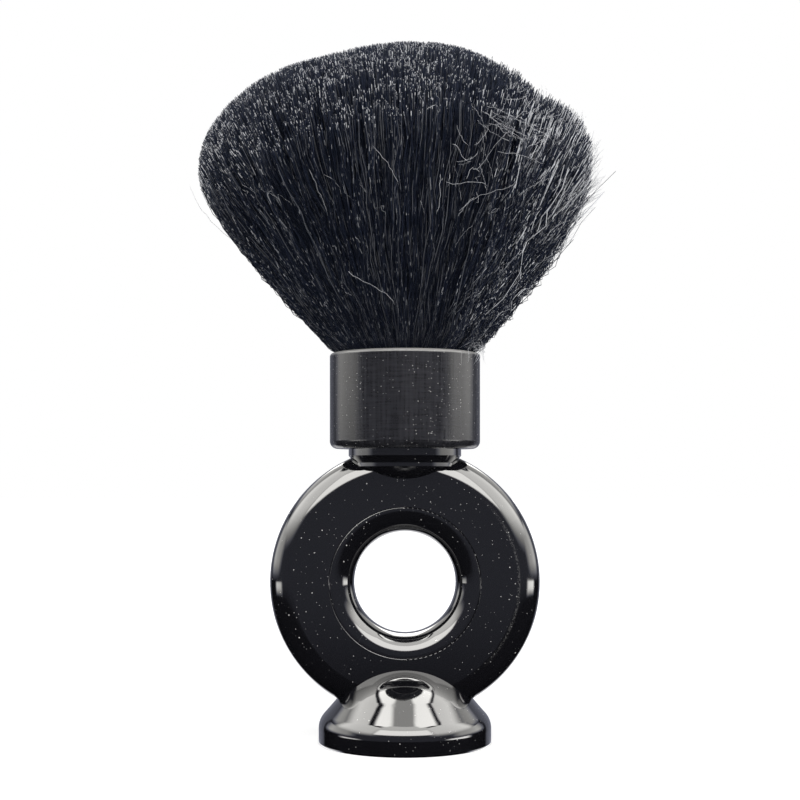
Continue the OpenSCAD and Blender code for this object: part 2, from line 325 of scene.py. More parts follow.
def gloss_material(colours):
    """High-gloss black plastic with dust, lint and hairline scratches."""
    material, tree, shader = new_material("handle_gloss")
    place = object_coordinates(tree)
    small = use_group(tree, dust_group(), place, Scale=1000.0, Cover=0.75, Size=0.125,
                      Patch=40.0)
    large = use_group(tree, dust_group(), place, Scale=520.0, Cover=0.55, Size=0.115,
                      Patch=30.0)
    lines = use_group(tree, scratch_group(), place, Scale=48.0, Width=0.0014, Cover=0.38)
    marks = largest(tree, small["Mask"], large["Mask"],
                    multiply(tree, lines["Mask"], 0.12), rub_mark(tree, place))
    link(tree, mix_colour(tree, marks, rgba(colours.gloss), rgba(colours.dust)),
         shader.inputs["Base Color"])
    link(tree, map_range(tree, marks, 0.0, 1.0, 0.06, 0.6), shader.inputs["Roughness"])
    grain = use_group(tree, grain_group(), place, Fine=900.0, Coarse=60.0)
    add_bump(tree, shader, grain["Tone"], 0.05, 0.4 * MM)
    shader.inputs["IOR"].default_value = PLASTIC_IOR
    shader.inputs["Coat Weight"].default_value = 1.0
    shader.inputs["Coat Roughness"].default_value = 0.04
    return material


def satin_material(colours):
    """Satin black collar: fine streaks both ways, a painted highlight along the top of its
    rim, handling marks and pale specks."""
    material, tree, shader = new_material("collar_satin")
    place = object_coordinates(tree)
    upright = stretched(tree, place, (1.0, 1.0, 0.05))
    level = stretched(tree, place, (0.08, 0.08, 1.0))
    streak = noise(tree, upright, 1700.0, 3.0)
    broad = noise(tree, upright, 160.0, 2.0)
    turned = noise(tree, level, 2200.0, 3.0)
    specks = use_group(tree, dust_group(), place, Scale=1300.0, Cover=0.85, Size=0.19,
                       Patch=60.0)
    scuffs = use_group(tree, dust_group(), upright, Scale=900.0, Cover=0.16, Size=0.2,
                       Patch=80.0)
    marks = largest(tree, specks["Mask"], multiply(tree, scuffs["Mask"], 0.35))

    tone = map_range(tree, math_node(tree, "ADD", streak, turned), 0.75, 1.25)
    body = mix_colour(tree, tone, rgba(colours.satin, 0.75), rgba(colours.satin, 1.7))
    height = split_vector(tree, place)["Z"]
    # Painted highlight: the top of the rim is mixed towards the pale dust colour, in place
    # of the rim's bright reflection
    rim = map_range(tree, height, COLLAR_TOP - 0.9 * MM, COLLAR_TOP - 0.1 * MM)
    body = mix_colour(tree, multiply(tree, rim, 0.8), body, rgba(colours.dust))
    link(tree, mix_colour(tree, marks, body, rgba(colours.dust)),
         shader.inputs["Base Color"])

    uneven = math_node(tree, "ADD", map_range(tree, broad, 0.3, 0.7, 0.12, 0.19),
                       map_range(tree, streak, 0.3, 0.7, 0.0, 0.07))
    link(tree, math_node(tree, "ADD", uneven, multiply(tree, marks, 0.3), clamp=True),
         shader.inputs["Roughness"])
    add_bump(tree, shader, streak, 0.25, 0.1 * MM)
    shader.inputs["IOR"].default_value = PLASTIC_IOR
    return material


def plain_material(name, colour, roughness, fine, coarse, spread):
    """A plain moulded or cast finish with grain and a slow change of tone."""
    material, tree, shader = new_material(name)
    grain = use_group(tree, grain_group(), object_coordinates(tree), Fine=fine,
                      Coarse=coarse)
    tone = map_range(tree, grain["Tone"], 0.3, 0.7)
    link(tree, mix_colour(tree, tone, rgba(colour, 1 - spread), rgba(colour, 1 + spread)),
         shader.inputs["Base Color"])
    link(tree, map_range(tree, grain["Height"], 0.3, 0.7, roughness * 0.8,
                         min(roughness * 1.2, 1.0)), shader.inputs["Roughness"])
    add_bump(tree, shader, grain["Height"], 0.3, 0.1 * MM)
    return material


STRAND_MAP = "OFBake"   # u runs from root to tip, v is the strand's own shade
BODY_SHADE = 0.58       # strands up to this shade are dark from root to tip
LIT_SHADE = 0.59        # strands of this shade get a faint painted highlight along them
TIPPED = 0.64           # strands of this shade and above get a painted highlight at the tip
ALL_PALE = 0.962, 0.99  # between these shades a strand turns pale from root to tip
TIP_FROM = 0.996        # where on the strand the shortest painted tip highlights start
TIP_GROWTH = 0.3        # how much further down the longest start


def fibre_material(colours):
    """Fine blue-black fibre whose shade changes from strand to strand, with painted
    highlights: glints and faint streaks along it, and pale tips that stand in for glints on
    its cut ends. Strands of the palest shades are pale stray hairs of their own colour."""
    material, tree, shader = new_material("mop_fibre")
    strand = add_node(tree, "ShaderNodeUVMap", uv_map=STRAND_MAP).outputs["UV"]
    parts = split_vector(tree, strand)
    along, shade = parts["X"], parts["Y"]
    body = mix_colour(tree, map_range(tree, shade, 0.0, 0.7), rgba(colours.fibre, 0.75),
                      rgba(colours.fibre, 1.8))

    def flecks(size_u, size_v, limit_dark, limit_light, soft):
        """Short stretches of painted highlight, more of them on the lighter strands."""
        spread = stretched(tree, strand, (size_u, size_v, 1.0))
        spot = add_node(tree, "ShaderNodeTexNoise",
                        {"Vector": spread, "Scale": 1.0, "Detail": 0.0},
                        noise_dimensions="2D")
        limit = map_range(tree, shade, 0.2, 1.0, limit_dark, limit_light)
        return map_range(tree, spot.outputs["Fac"], limit,
                         math_node(tree, "ADD", limit, soft))

    bright = map_range(tree, shade, TIPPED, 1.0)
    # Painted highlight: faint long streaks of light along the strands
    streak = multiply(tree, flecks(8.0, 140.0, 0.77, 0.60, 0.10), 0.13)
    # Painted highlight: a faint light along the whole of each LIT_SHADE strand
    lit = math_node(tree, "COMPARE", shade, LIT_SHADE)
    lit.node.inputs[2].default_value = 0.015          # how near the shade has to be
    # Painted highlight: short glints along the strands, more on the lighter ones
    glint = multiply(tree, flecks(40.0, 90.0, 0.92, 0.57, 0.04),
                     map_range(tree, bright, 0.0, 0.8, 0.2, 0.9))
    # Painted highlight at the tip: a pale end that stands in for the glint on a strand's
    # cut end, longer on the brighter shades
    start = math_node(tree, "SUBTRACT", TIP_FROM,
                      multiply(tree, math_node(tree, "POWER", bright, 3.0), TIP_GROWTH))
    tip_glint = map_range(tree, along, start, math_node(tree, "ADD", start, 0.002))
    tip = multiply(tree, tip_glint, map_range(tree, shade, TIPPED - 0.04, TIPPED))
    tip = multiply(tree, tip, map_range(tree, bright, 0.0, 0.4, 0.65, 1.0))
    stray = multiply(tree, map_range(tree, shade, *ALL_PALE), 0.95)
    pale = largest(tree, glint, tip, streak, multiply(tree, lit, 0.15), stray)
    # The fibre's own colour, mixed towards the pale grey of the painted highlights or of a
    # pale stray hair
    link(tree, mix_colour(tree, pale, body, rgba(colours.fibre_highlight_and_stray)),
         shader.inputs["Base Color"])
    link(tree, map_range(tree, pale, 0.0, 1.0, 0.55, 0.4), shader.inputs["Roughness"])
    shader.inputs["IOR"].default_value = 1.22
    return material


# -------------------------------------------------------------------- mop

TIP_STEPS = 400          # steps of the table that spreads the tips evenly
ROOT_LEVEL = 0.6 * MM    # how far above the mop's lowest point a strand starts
BAND_WIDTH = 1.0 * MM    # how far inside the band's outer face the roots end
# Shares of a strand's free length, from the rim, where it has a ring of points
CORE_LEVELS = (0.0, 0.6, 0.997, 1.0)
MANTLE_LEVELS = (0.0, 0.1, 0.22, 0.34, 0.46, 0.58, 0.7, 0.8, 0.9, 0.997, 1.0)
MANTLE_FROM = 0.86       # strands rooted further out than this share are the mantle
CORE_PIECES = 5
MANTLE_PIECES = 5
SIDES = 3
HIDDEN = 0.12            # share of a strand's map that lies inside the collar
SIDE_BAND = 0.002        # how far a strand's sides lie apart on the map
# Where the mop is cut higher or lower: place across, width, rise
CUT_LOBES = ((8 * MM, 9 * MM, 0.6 * MM), (-18 * MM, 9 * MM, -2.3 * MM),
             (-42 * MM, 7 * MM, -0.4 * MM), (30 * MM, 10 * MM, -7.4 * MM),
             (45 * MM, 8 * MM, -3.0 * MM))
LEFT_SPREAD = 0.135      # the left side falls open further than a quarter turn
RIGHT_SPREAD = 0.02      # the right side hardly does
RIGHT_SHORT = 0.09       # and is cut shorter
FRONT_SPREAD = -0.09     # the front and the back fall open less
OUTWARD = math.radians(7)    # how far the outer strands lean out at the rim
HOMEWARD = math.radians(6)   # and how far their tips turn back in
CLUMPS = 800             # locks that the strands gather into


def ease(x, low, high):
    """Smooth step from 0 at low to 1 at high."""
    s = np.clip((x - low) / (high - low), 0, 1)
    return s * s * (3 - 2 * s)


def even_disc(count):
    """Points spread evenly over a disc of radius 1, in a sunflower's pattern."""
    number = np.arange(count) + 0.5
    radius = np.sqrt(number / count)
    angle = number * math.pi * (3 - math.sqrt(5))
    return np.stack([radius * np.cos(angle), radius * np.sin(angle)], axis=1)


def wave_field(rng, points, waves, length):
    """A smooth random field over the disc, about -1..1, for two directions."""
    out = np.zeros((len(points), 2))
    for _ in range(waves):
        direction = rng.normal(size=2)
        direction *= 2 * math.pi / (length * np.linalg.norm(direction))
        phase = rng.uniform(0, 2 * math.pi, 2)
        out += np.sin(points @ direction[:, None] + phase[None, :])
    return out / math.sqrt(waves)


class MopShape:
    """Where a strand runs: from its place on the disc of roots to the cut dome."""

    def __init__(self, sizes):
        self.radius = sizes.mop_radius - 0.3 * MM
        self.crown = sizes.crown
        self.side = sizes.side_height
        self.throat = sizes.throat_radius
        self.rim = COLLAR_TOP
        self.root_z = ROOTS_FOOT + ROOT_LEVEL
        self.root_r = BAND_REACH - BAND_WIDTH
        angle = np.linspace(0, math.pi / 2, TIP_STEPS)
        ring = self.radius * np.sin(angle)
        slope = np.hypot(self.radius * np.cos(angle), self.crown * np.sin(angle))
        area = np.concatenate([[0], np.cumsum((ring[1:] + ring[:-1]) / 2
                                              * (slope[1:] + slope[:-1]) / 2)])
        self.share, self.angle = area / area[-1], angle

    def unevenness(self, x, y):
        """How much higher or lower than the even dome the mop is cut."""
        height = np.zeros_like(x)
        for middle, width, rise in CUT_LOBES:
            height += rise * np.exp(-((x - middle) / width) ** 2
                                    - (y / (2.5 * width)) ** 2)
        return height

    def at(self, disc, t):
        """Points at share t of the free length, for strands at disc points."""
        q = np.minimum(np.hypot(disc[..., 0], disc[..., 1]), 1.03)
        unit = disc / np.maximum(q, 1e-9)[..., None]
        right, left = ease(unit[..., 0], 0, 0.9), ease(-unit[..., 0], 0, 0.9)
        a = np.interp(q ** 2, self.share, self.angle) + np.maximum(q - 1, 0) * 2
        facing = ease(np.abs(unit[..., 1]), 0.3, 1.0)
        a *= 1 + (LEFT_SPREAD * left + RIGHT_SPREAD * right
                  + FRONT_SPREAD * facing) * q ** 2
        reach = self.radius * (1 - RIGHT_SHORT * right * q ** 2)
        start = np.stack([q * self.throat, np.full_like(q, self.rim)], -1)
        end = np.stack([reach * np.sin(a),
                        self.rim + self.side + self.crown * np.cos(a)], -1)
        end[..., 1] += self.unevenness(end[..., 0] * unit[..., 0],
                                       end[..., 0] * unit[..., 1])
        chord = end - start
        length = np.linalg.norm(chord, axis=-1)
        lean = np.arctan2(chord[..., 0], chord[..., 1])
        out = lean + OUTWARD * (1 - 0.35 * left) * q ** 2
        home = lean - HOMEWARD * q ** 2
        t0 = np.stack([np.sin(out), np.cos(out)], -1) * length[..., None]
        t1 = np.stack([np.sin(home), np.cos(home)], -1) * length[..., None]
        t = t[..., None]
        p = ((2 * t ** 3 - 3 * t ** 2 + 1) * start + (t ** 3 - 2 * t ** 2 + t) * t0
             + (3 * t ** 2 - 2 * t ** 3) * end + (t ** 3 - t ** 2) * t1)
        return np.stack([p[..., 0] * unit[..., 0], p[..., 0] * unit[..., 1], p[..., 1]], -1)


def nearest(points, centres, block=4000):
    """Index of the nearest centre to each point."""
    out = np.empty(len(points), int)
    for i in range(0, len(points), block):
        gap = points[i:i + block, None, :] - centres[None, :, :]
        out[i:i + block] = (gap ** 2).sum(-1).argmin(1)
    return out


def thickness(level):
    """Share of the strand's full width at a share of its free length."""
    return np.interp(level, (0.0, 0.26, 0.52, 0.77, 1.0), (0.38, 0.75, 0.95, 1.0, 0.85))


class Strands:
    """Every strand of the mop: its place, bend, cut, shade and width."""

    def __init__(self, sizes):
        self.sizes = sizes
        self.rng = np.random.default_rng(sizes.seed)
        self.shape = MopShape(sizes)
        self.draw_places()
        self.draw_bends()
        self.draw_cuts()
        self.draw_shades()

    def draw_places(self):
        """Roots spread over the disc, and the locks that they gather into."""
        count = self.sizes.strands
        disc = even_disc(count)
        disc += self.rng.normal(scale=0.35 / math.sqrt(count), size=disc.shape)
        self.disc = disc
        self.q = np.hypot(disc[:, 0], disc[:, 1])       # 0 in the middle, 1 at the edge
        self.outer = np.clip((self.q - MANTLE_FROM) / (1 - MANTLE_FROM), 0, 1)
        self.ruffled = ease(disc[:, 0], 0.2, 0.85)      # the mop's untidy right side
        self.flank = ease(-disc[:, 0], 0.45, 0.95)      # its left side
        centres = even_disc(CLUMPS) * 1.02
        centres += self.rng.normal(scale=0.014, size=centres.shape)
        self.lock = nearest(disc, centres)
        self.centre = centres[self.lock]

    def draw_bends(self):
        """How far a strand is drawn to its lock's middle, swept aside or strays."""
        rng, disc, ruffled = self.rng, self.disc, self.ruffled
        pull = 0.22 + 0.42 * ruffled + rng.normal(scale=0.08, size=len(disc))
        swirl = (wave_field(rng, disc, 7, 0.35) * 0.013
                 + wave_field(rng, disc, 9, 0.13) * 0.007
                 + rng.normal(scale=0.009, size=(CLUMPS, 2))[self.lock])
        stray = rng.normal(scale=1, size=disc.shape) * (0.009 + 0.014 * ruffled)[:, None]
        loose = rng.random(len(disc)) < 0.03 + 0.07 * ruffled
        stray[loose] *= 3.5
        self.drift = pull[:, None] * (self.centre - disc) + swirl + stray

    def draw_cuts(self):
        """The share of its full length that a strand is cut to."""
        rng, ruffled, flank = self.rng, self.ruffled, self.flank
        count = len(self.disc)
        cut = 1 - np.abs(rng.normal(scale=0.009 + 0.022 * ruffled, size=count))
        short = rng.random(count) < (0.35 + 0.45 * ruffled + 0.6 * flank) * self.outer
        depth = 0.05 + 0.13 * (ruffled + flank)
        cut[short] -= np.minimum(rng.exponential(depth[short]), 0.45)
        worn = ease(self.q, 0.88, 0.99) * ease(self.disc[:, 0], 0.45, 0.85)
        cut -= worn * np.clip(rng.normal(0.2, 0.13, count), 0, 0.5)
        cut += rng.normal(scale=0.02, size=CLUMPS)[self.lock] * ruffled
        self.cut = np.clip(cut, 0.35, 1.03)

    def draw_shades(self):
        """A strand's shade, which also gives it its painted highlights, and its width: the
        strands with a painted tip highlight are a little wider.
        """
        rng, outer, ruffled, flank = self.rng, self.outer, self.ruffled, self.flank
        across, count = self.disc[:, 0], len(self.disc)
        shade = np.clip(rng.normal(0.28, 0.15, count), 0.0, BODY_SHADE)
        patchy = np.exp(rng.normal(scale=0.3, size=CLUMPS))[self.lock]
        bare = ease(across, 0.06, 0.26) * (1 - ease(across, 0.38, 0.66))
        # Chance of a painted highlight at the tip: more on the left and right sides, fewer
        # in a bare patch right of the middle
        chance = 0.3 + 0.12 * ruffled + (0.38 * flank + 0.3 * ruffled) * outer
        chance *= (1 - 0.6 * bare) * patchy
        bright = rng.random(count) < chance
        longer = rng.random(count) ** 1.6 * (0.13 + 0.08 * flank * outer + 0.22 * ruffled)
        shade[bright] = TIPPED + longer[bright]
        # Some mantle strands get a faint painted highlight along their length
        shade[(rng.random(count) < 0.13 * outer) & ~bright] = LIT_SHADE
        self.shade = shade
        self.width = rng.uniform(0.75, 1.2, count) * np.where(bright, 1.25, 1.0)

    def paths(self, part, levels):
        """Centre lines, radii and shades of a part of the strands. A line has a root
        point and then one point for each level."""
        rng, crimp = self.rng, self.sizes.crimp
        disc, cut, lock = self.disc[part], self.cut[part], self.lock[part]
        freedom = 0.4 + self.outer[part] * (0.6 + 0.7 * self.ruffled[part])
        lines = np.empty((len(disc), len(levels) + 1, 3))
        lines[:, 0, :2] = disc * self.shape.root_r
        lines[:, 0, 2] = self.shape.root_z
        for n, level in enumerate(levels):
            t = level * cut
            moved = disc + (t ** 1.4)[:, None] * self.drift[part]
            lines[:, n + 1] = self.shape.at(moved, t)
            if 0 < level < 0.95:             # the rim and the tip keep their place
                waver = (rng.normal(scale=crimp, size=(len(disc), 3))
                         + rng.normal(scale=crimp * 1.3, size=(CLUMPS, 3))[lock])
                lines[:, n + 1] += waver * freedom[:, None]
        radii = thickness(np.array((0.0,) + levels[:-1])) * self.sizes.strand_width / 2
        radii[0] *= 0.9
        return lines, radii[None] * self.width[part, None], self.shade[part]


def strand_points(lines, radii, rng):
    """Points of three-sided strands: a ring for each level, and the tip."""
    count, rings = lines.shape[0], lines.shape[1] - 1
    along = np.gradient(lines, axis=1)
    along /= np.linalg.norm(along, axis=2, keepdims=True)
    side = np.cross(along, rng.normal(size=(count, 1, 3)))
    side /= np.linalg.norm(side, axis=2, keepdims=True)
    across = np.cross(along, side)
    angles = 2 * math.pi * np.arange(SIDES) / SIDES
    offset = (side[:, :rings, None, :] * np.cos(angles)[None, None, :, None]
              + across[:, :rings, None, :] * np.sin(angles)[None, None, :, None])
    points = lines[:, :rings, None, :] + offset * radii[:, :rings, None, None]
    return np.concatenate([points.reshape(count, rings * SIDES, 3), lines[:, rings:, :]],
                          axis=1)


def strand_faces(rings):
    """Triangles of one strand, and the ring and side that each corner lies on."""
    faces, spans = [[2, 1, 0]], [[(0, 2), (0, 1), (0, 0)]]
    for r in range(rings - 1):
        for k in range(SIDES):
            a, b = r * SIDES + k, r * SIDES + (k + 1) % SIDES
            c, d = a + SIDES, b + SIDES
            faces += [[a, b, d], [a, d, c]]
            spans += [[(r, k), (r, k + 1), (r + 1, k + 1)],
                      [(r, k), (r + 1, k + 1), (r + 1, k)]]
    last, tip = rings - 1, rings * SIDES
    for k in range(SIDES):
        faces.append([last * SIDES + k, last * SIDES + (k + 1) % SIDES, tip])
        spans.append([(last, k), (last, k + 1), (rings, k + 0.5)])
    return np.array(faces), np.array(spans, float)


def strand_mesh(name, lines, radii, shade, levels, rng):
    """One piece of closed three-sided strands that end in a point, with their map."""
    rings = lines.shape[1] - 1
    points = strand_points(lines, radii, rng)
    count, per = points.shape[:2]
    faces, spans = strand_faces(rings)
    loops = (faces[None] + (np.arange(count) * per)[:, None, None]).reshape(-1)
    share = [0.0, HIDDEN] + [HIDDEN + (1 - HIDDEN) * level for level in levels[1:]]
    uv = np.empty((count, len(faces), 3, 2))
    uv[..., 0] = np.interp(spans[..., 0], np.arange(rings + 1), share)[None]
    uv[..., 1] = (spans[..., 1] * SIDE_BAND)[None]
    uv[..., 1] += shade[:, None, None] * (1 - SIDE_BAND * SIDES)

    mesh = bpy.data.meshes.new(name)
    mesh.vertices.add(count * per)
    mesh.vertices.foreach_set("co", points.reshape(-1).astype(np.float32))
    mesh.loops.add(len(loops))
    mesh.loops.foreach_set("vertex_index", loops.astype(np.int32))
    mesh.polygons.add(len(loops) // 3)
    mesh.polygons.foreach_set("loop_start", np.arange(0, len(loops), 3, dtype=np.int32))
    mesh.polygons.foreach_set("use_smooth", np.ones(len(loops) // 3, bool))
    layer = mesh.uv_layers.new(name=STRAND_MAP)
    layer.data.foreach_set("uv", uv.reshape(-1).astype(np.float32))
    mesh.update(calc_edges=True)
    mesh.validate()
    piece = bpy.data.objects.new(name, mesh)
    bpy.context.scene.collection.objects.link(piece)
    return piece


def add_mop_piece(piece, material):
    """Fixes a piece of strands to the brush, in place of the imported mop."""
    piece.data.materials.append(material)
    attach(piece, "root")
    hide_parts("bristles")


class DUSTER_OT_mop(bpy.types.Operator):
    """Builds the mop: fine strands set in the collar, fanned out and cut to a dome"""

    bl_idname = "duster.mop"
    bl_label = "Add Mop"

    def execute(self, context):
        strands = Strands(context.scene.duster_sizes)
        material = fibre_material(context.scene.duster_colours)
        mantle = strands.q > MANTLE_FROM
        groups = (("mop_core", CORE_PIECES, CORE_LEVELS, ~mantle),
                  ("mop_mantle", MANTLE_PIECES, MANTLE_LEVELS, mantle))
        paths = [strands.paths(part, levels) for _, _, levels, part in groups]
        for (label, pieces, levels, _), (lines, radii, shade) in zip(groups, paths):
            angle = np.arctan2(lines[:, -1, 1], lines[:, -1, 0])
            sector = ((angle / math.pi + 1) / 2 * pieces).astype(int)
            sector = np.clip(sector, 0, pieces - 1)
            for n in range(pieces):
                own = sector == n
                add_mop_piece(strand_mesh(f"{label}_{n + 1}", lines[own], radii[own],
                                          shade[own], levels, strands.rng), material)
        return {"FINISHED"}


# Hairs that lie loose on the mop, point by point: degrees round from the front (right is
# positive) and height in millimetres
STRAY_HAIRS = (
    ((-24, 114), (-20, 112), (-13, 110.5), (-9, 108.5), (-5, 106.5)),
    ((10, 133.5), (10, 131.5), (11, 130), (10, 128.5), (11, 127), (10, 125.5)),
    ((12, 132), (16, 132), (21, 132.5), (26, 132)),
    ((18, 126.5), (21, 128.5), (24, 130), (28, 131), (31, 131.5), (35, 133)),
    ((38, 131), (41, 132.5), (44, 134), (47, 136.5)),
    ((20.5, 135), (22.5, 136.5), (24, 139), (26, 141.5), (29, 143.5)),
    ((12.5, 139.5), (14.5, 138.5), (16, 137), (19, 136.5)),
    ((26.5, 139), (34, 139), (39, 138.5), (44, 138)),
    ((18, 133), (19, 135), (22, 134.5)),
    ((5, 146), (7, 147)),
    ((-13, 145), (-14, 147.5)),
    ((-26.5, 135), (-26, 132), (-25.5, 129), (-25, 125.5)),
    ((-8.5, 139), (-6, 136.5), (-4, 134.5), (-2, 131)),
)
# Wisps of like hairs: how many, where they start and end, and how far they scatter
WISPS = (
    (14, (22, 146.5), (36, 143.5), (2.0, 1.3)),
    (30, (36, 147), (46, 152), (9.0, 4.0)),
    (8, (21, 137), (25, 131), (5.0, 4.0)),
    (26, (34, 131), (37, 135), (12.0, 8.0)),
    (18, (58, 110), (62, 115), (9.0, 7.0)),
    (14, (-30, 128), (-32, 131), (22.0, 9.0)),
)
# A hair that hangs out on the left: heights and reaches in millimetres
LEFT_HAIR = ((126, 43.5), (131, 49), (135.5, 52.3), (140, 54))
FEATHERS = 170           # hairs in the feathery edge on the right
RIM_FIBRES = 22          # fibres frayed over the collar's rim
HAIR_STEPS = 11
SKIN_STEPS = 60


def skin_reach(shape, way, height):
    """How far the mop's skin lies from its axis at a height, in millimetres."""
    skin = shape.at(np.repeat(way[None], SKIN_STEPS, 0), np.linspace(0, 1, SKIN_STEPS))
    side = np.hypot(skin[:, 0], skin[:, 1])
    if height * MM <= skin[-1, 2]:
        return np.interp(height * MM, skin[:, 2], side) / MM
    up = (height * MM - shape.rim - shape.side) / shape.crown
    return side[-1] * math.sqrt(max(1 - up ** 2, 0.0)) / MM


def hair_guides(shape, rng):
    """The points that each loose hair runs along."""

    def place(degrees, height, lift=0.0, reach=None):
        """Point off the mop's skin, or at a given reach from its axis."""
        a = math.radians(degrees)
        way = np.array([math.sin(a), -math.cos(a)])
        if reach is None:
            reach = skin_reach(shape, way, height) + lift
        return np.array([way[0] * reach, way[1] * reach, height]) * MM

    hairs = [[place(a, z, 1.3) for a, z in hair] for hair in STRAY_HAIRS]
    hairs.append([place(-90, z, reach=r) for z, r in LEFT_HAIR])
    for number, begin, end, scatter in WISPS:
        for _ in range(number):
            shift = rng.normal(size=2) * scatter
            turn = rng.normal(scale=0.6, size=2) * (3, 2)
            way = (np.array(end) - begin) * rng.uniform(0.5, 1.1) + turn
            middle = way / 2 + rng.normal(size=2) * (0.8, 0.5)
            hairs.append([place(*(begin + shift + part), rng.uniform(0.4, 1.1))
                          for part in (0, middle, way)])
    for _ in range(FEATHERS):
        a, z = rng.uniform(62, 112), rng.uniform(116, 152)
        out, rise = rng.uniform(0.8, 3.6), rng.uniform(2.5, 6)
        hairs.append([place(a, z, -1.0), place(a, z + rise / 2, out * 0.3),
                      place(a + rng.normal(), z + rise, out)])
    for _ in range(RIM_FIBRES):
        a = rng.uniform(58, 92)
        hairs.append([place(a, 98.5, reach=17.2),
                      place(a + rng.normal(scale=5), 98 + rng.uniform(-0.6, 3),
                            reach=rng.uniform(18.4, 20.4)),
                      place(a + rng.normal(scale=9), rng.uniform(93, 99.5),
                            reach=rng.uniform(19.2, 20.4))])
    return hairs


def hair_lines(hairs, steps, rng):
    """Smooth lines along the hairs' points, a little unsteady."""
    lines = np.empty((len(hairs), len(steps), 3))
    for n, hair in enumerate(hairs):
        knots = np.linspace(0, 1, len(hair))
        bend = np.polyfit(knots, np.array(hair), min(len(hair) - 1, 3))
        line = np.stack([np.polyval(bend[:, k], steps) for k in range(3)], 1)
        lines[n] = line + rng.normal(scale=0.1 * MM, size=line.shape)
    return lines


class DUSTER_OT_stray_hairs(bpy.types.Operator):
    """Adds the pale hairs that lie loose on the mop or stick out of it"""

    bl_idname = "duster.stray_hairs"
    bl_label = "Add Stray Hairs"

    def execute(self, context):
        sizes = context.scene.duster_sizes
        rng = np.random.default_rng(sizes.seed + 1)
        hairs = hair_guides(MopShape(sizes), rng)
        steps = np.linspace(0, 1, HAIR_STEPS)
        lines = hair_lines(hairs, steps, rng)
        radii = (np.linspace(1.0, 0.7, HAIR_STEPS - 1)[None] * sizes.strand_width / 2
                 * rng.uniform(0.75, 1.05, len(hairs))[:, None])
        shade = rng.uniform(0.968, 0.986, len(hairs))
        listed = len(STRAY_HAIRS)
        radii[:listed] *= 0.7
        radii[listed:] *= 0.63
        shade[:listed] = 0.987
        piece = strand_mesh("stray_hairs", lines, radii, shade, tuple(steps[1:]), rng)
        add_mop_piece(piece, bpy.data.objects["mop_mantle_1"].active_material)
        return {"FINISHED"}


# --------------------------------------------------------------- finishes

def paint(node, material):
    """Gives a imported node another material; its shape stays."""
    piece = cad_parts[node]
    if not piece.material_slots:
        raise RuntimeError(f"{node} has no material slot")
    for slot in piece.material_slots:
        slot.material = material


class DUSTER_OT_handle(bpy.types.Operator):
    """Gives the handle's shells their high gloss and the foot's cap its grain"""

    bl_idname = "duster.handle"
    bl_label = "Finish Handle"

    def execute(self, context):
        gloss = gloss_material(context.scene.duster_colours)
        for node in ("front_shell", "rear_shell"):
            paint(node, gloss)
        paint("foot_cap", plain_material("foot_cap_plastic", (0.02, 0.02, 0.022),
                                         0.55, 2500.0, 90.0, 0.25))
        return {"FINISHED"}


class DUSTER_OT_collar(bpy.types.Operator):
    """Gives the collar its satin black finish"""

    bl_idname = "duster.collar"
    bl_label = "Finish Collar"

    def execute(self, context):
        paint("collar", satin_material(context.scene.duster_colours))
        return {"FINISHED"}


class DUSTER_OT_inside(bpy.types.Operator):
    """Finishes the pieces inside the collar: cup, resin and band"""

    bl_idname = "duster.inside"
    bl_label = "Finish Inner Pieces"

    def execute(self, context):
        colours = context.scene.duster_colours
        paint("bristle_cup", plain_material("cup_plastic", (0.05, 0.05, 0.055),
                                            0.5, 2500.0, 120.0, 0.2))
        paint("resin_bed", plain_material("cured_resin", tuple(colours.resin),
                                          0.22, 300.0, 150.0, 0.3))
        paint("root_band", plain_material("band_rubber", (0.12, 0.115, 0.11),
                                          0.7, 3000.0, 200.0, 0.15))
        return {"FINISHED"}


# ------------------------------------------------------------------ stage

CAMERA_PLACE = (-1.23 * MM, -376 * MM, 66.7 * MM)
CAMERA_LENS = 67.5
CAMERA_SHIFT = 0.095
# Soft boxes: azimuth (0 is the front, right is positive), elevation, radiance
SOFTBOXES = (
    ("front_softbox", 0, 45, 1.5),
    ("left_softbox", -85, 30, 1.9),
    ("right_softbox", 76, 20, 2.6),
    ("fill_softbox", 12, 2, 2.0),
)
SOFTBOX_SIZE = 0.9, 0.6
SOFTBOX_DISTANCE = 1.0
SOFTBOX_AIM = 0, 0, 0.08


def add_softbox(name, azimuth, elevation, radiance):
    """A soft box aimed at the brush, given by its direction from there."""
    data = bpy.data.lights.new(name, "AREA")
    data.shape = "RECTANGLE"
    data.size, data.size_y = SOFTBOX_SIZE
    data.energy = radiance * math.pi * data.size * data.size_y
    lamp = bpy.data.objects.new(name, data)
    a, e = math.radians(azimuth), math.radians(elevation)
    back = np.array([math.sin(a) * math.cos(e), -math.cos(a) * math.cos(e), math.sin(e)])
    lamp.location = np.array(SOFTBOX_AIM) + back * SOFTBOX_DISTANCE
    lamp.rotation_euler = (math.pi / 2 - e, 0, a)
    lamp.visible_camera = False
    lamp.visible_glossy = False
    bpy.context.scene.collection.objects.link(lamp)


def empty_material(name):
    """A material without nodes; returns it and its tree."""
    material = bpy.data.materials.new(name)
    material.use_nodes = True
    material.node_tree.nodes.clear()
    return material, material.node_tree


def shown_white(tree):
    """1 for rays that show the background: straight to the camera, mirrored or
    through glass."""
    path = add_node(tree, "ShaderNodeLightPath").outputs
    return largest(tree, path["Is Camera Ray"], path["Is Glossy Ray"],
                   path["Is Transmission Ray"])


